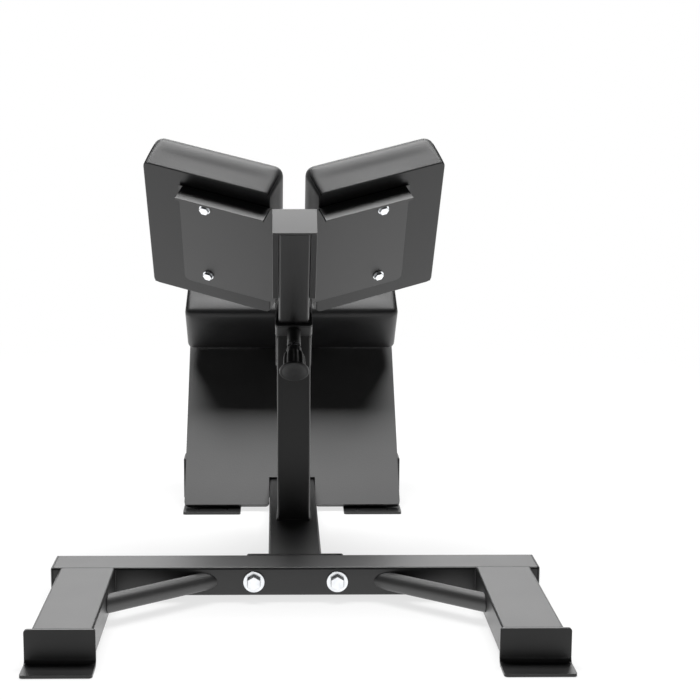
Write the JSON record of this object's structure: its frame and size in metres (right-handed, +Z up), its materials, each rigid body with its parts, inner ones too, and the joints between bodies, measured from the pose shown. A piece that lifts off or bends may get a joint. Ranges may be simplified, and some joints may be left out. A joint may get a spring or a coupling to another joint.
{
  "type": "hyperextension bench",
  "caption": "Low hyperextension bench with a V of hip pads on an inclined slide with a pull pin, a sloping foot plate and a calf pad.",
  "frame": {"origin": "on the floor, under the middle of the whole bench", "axes": "+X across the bench, +Y from the front crossbar towards the foot plate and calf pad, +Z up"},
  "size_m": [0.668, 1.0152, 0.6226],
  "materials": {
    "black_powder_coat": "satin black powder coat",
    "bright_zinc": "bright zinc plate",
    "black_plastic": "fine matt grain",
    "black_vinyl": "smooth black vinyl with a fine grain",
    "pad_board": "plywood under a black backing cloth",
    "black_rubber": "matt with a pebbled grain"
  },
  "bodies": {
    "frame": {"front_crossbar": "black_powder_coat", "main_beam": "black_powder_coat", "beam_flange": "black_powder_coat", "rear_crossbar": "black_powder_coat", "foot_plate": "black_powder_coat", "rear_mast": "black_powder_coat", "calf_bracket": "black_powder_coat", "post": "black_powder_coat", "slide_sleeve": "black_powder_coat", "sleeve_collar": "black_powder_coat", "pin_housing": "black_powder_coat", "pin_housing_cap": "black_powder_coat", "front_leg_left": "black_powder_coat", "front_leg_right": "black_powder_coat", "front_foot_left": "black_powder_coat", "front_foot_right": "black_powder_coat", "brace_left": "black_powder_coat", "brace_right": "black_powder_coat", "rear_foot_left": "black_powder_coat", "rear_foot_right": "black_powder_coat", "crossbar_cap_left": "black_plastic", "crossbar_cap_right": "black_plastic", "rear_cap_left": "black_plastic", "rear_cap_right": "black_plastic", "sleeve_bush": "black_plastic", "crossbar_washer_left": "bright_zinc", "crossbar_washer_right": "bright_zinc", "crossbar_nut_left": "bright_zinc", "crossbar_nut_right": "bright_zinc", "crossbar_bolt_left": "bright_zinc", "crossbar_bolt_right": "bright_zinc", "calf_bolt_left": "bright_zinc", "calf_bolt_right": "bright_zinc", "pin_spring": "bright_zinc", "calf_cushion": "black_vinyl", "calf_board": "pad_board", "foot_mat": "black_rubber"},
    "pad_carriage": {"slide_tube": "black_powder_coat", "slide_end_plate": "black_powder_coat", "cheek_left": "black_powder_coat", "cheek_right": "black_powder_coat", "pad_bracket_left": "black_powder_coat", "pad_bracket_right": "black_powder_coat", "slide_tube_cap": "black_plastic", "hip_cushion_left": "black_vinyl", "hip_cushion_right": "black_vinyl", "hip_board_left": "pad_board", "hip_board_right": "pad_board", "pad_bolt_lower_left": "bright_zinc", "pad_bolt_lower_right": "bright_zinc", "pad_bolt_upper_left": "bright_zinc", "pad_bolt_upper_right": "bright_zinc"},
    "pull_pin": {"pull_pin": "bright_zinc", "pull_knob": "black_plastic"}
  },
  "joints": [
    {"name": "pad_height", "type": "slide", "parent": "frame", "child": "pad_carriage", "axis": [0, -0.6691, 0.7431], "range_m": [0, 0.12]},
    {"name": "pin_pull", "type": "slide", "parent": "frame", "child": "pull_pin", "axis": [0, -0.7431, -0.6691], "range_m": [0, 0.0105], "stiffness_N_per_m": 800, "springref_m": -0.012}
  ]
}
